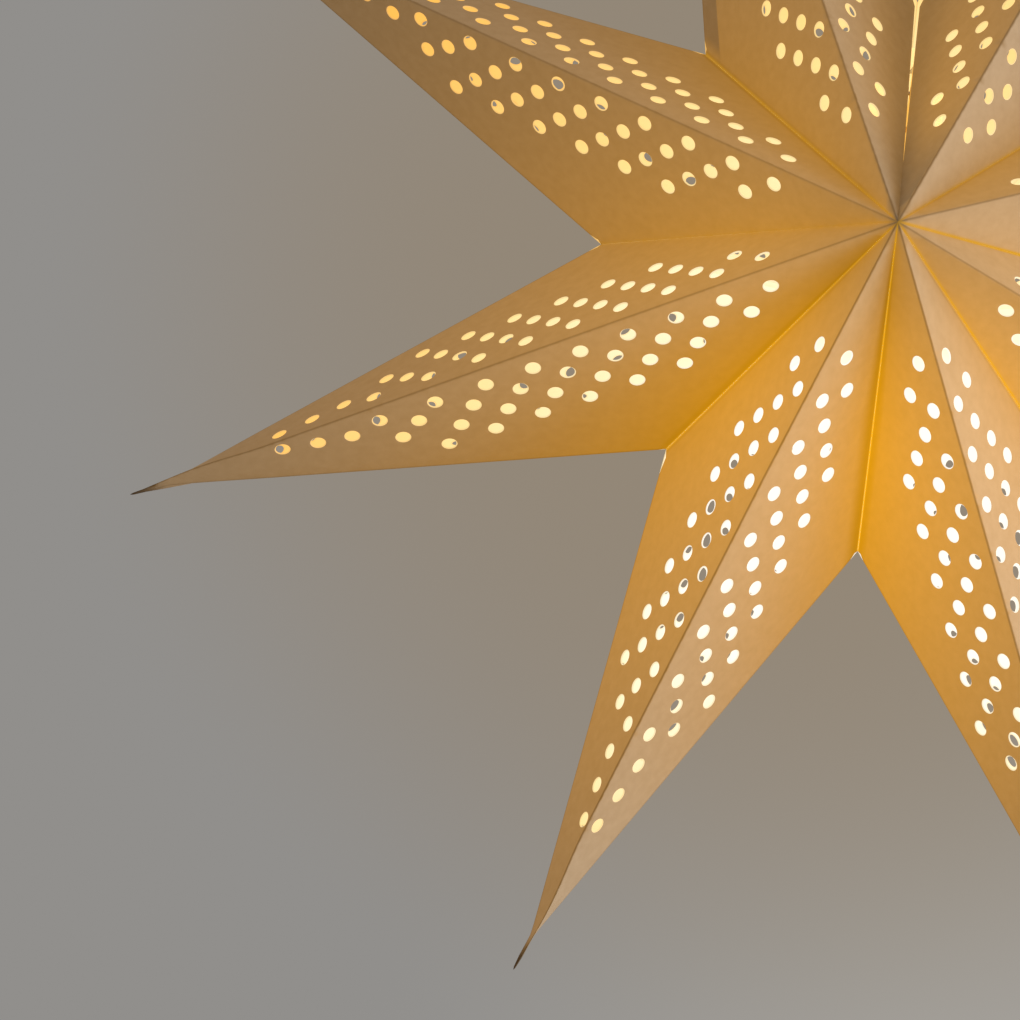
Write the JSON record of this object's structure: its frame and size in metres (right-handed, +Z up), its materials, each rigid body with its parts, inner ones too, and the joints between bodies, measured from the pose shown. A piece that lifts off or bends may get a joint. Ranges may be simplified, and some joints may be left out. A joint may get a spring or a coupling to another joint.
{
  "type": "star pendant light",
  "caption": "Folded card star lantern with perforated points, hung by a wire hanger on a lampholder with an LED globe bulb inside.",
  "frame": {"origin": "middle of the cord inlet, on top of the lampholder's cap, from which the pendant hangs", "axes": "+Z up along the hanging cord, the star's front towards -Y, +X to the right seen from the front"},
  "size_m": [0.5536, 0.1798, 0.5536],
  "materials": {
    "card": "matt uncoated card",
    "brass": "bright pressed",
    "spring_steel": "drawn",
    "white_moulding": "fine satin",
    "contact_block": "unglazed",
    "nickel_plate": "plated",
    "opal_globe": "opal",
    "bulb_plastic": "smooth",
    "black_insulator": "glassy",
    "board_metal": "white solder resist",
    "led_phosphor": "smooth",
    "board_laminate": "laminate"
  },
  "bodies": {
    "lampholder": {"lampholder_cap": "white_moulding", "cord_grip_screw": "spring_steel", "lampholder_skirt": "white_moulding", "holder_insert": "contact_block", "thread_shell": "nickel_plate", "centre_contact": "brass", "side_contact": "brass", "terminal_blocks": "brass", "terminal_screws": "spring_steel"},
    "star": {"point_1": "card", "point_2": "card", "point_3": "card", "point_4": "card", "point_5": "card", "point_6": "card", "point_7": "card", "point_8": "card", "paper_fasteners": "brass", "flange_eyelets": "brass", "hanger_wire": "spring_steel"},
    "bulb": {"bulb_globe": "opal_globe", "bulb_collar": "bulb_plastic", "bulb_screw_cap": "nickel_plate", "bulb_insulator": "black_insulator", "bulb_tip_contact": "brass", "led_board": "board_metal", "led_chips": "led_phosphor", "driver_board": "board_laminate"}
  },
  "joints": [
    {"name": "star_swivel", "type": "hinge", "parent": "lampholder", "child": "star", "pos_m": [0, 0, -0.0101], "axis": [0, 0, 1], "continuous": true},
    {"name": "bulb_removal", "type": "slide", "parent": "lampholder", "child": "bulb", "axis": [0, 0, -1], "range_m": [0, 0.028]}
  ]
}
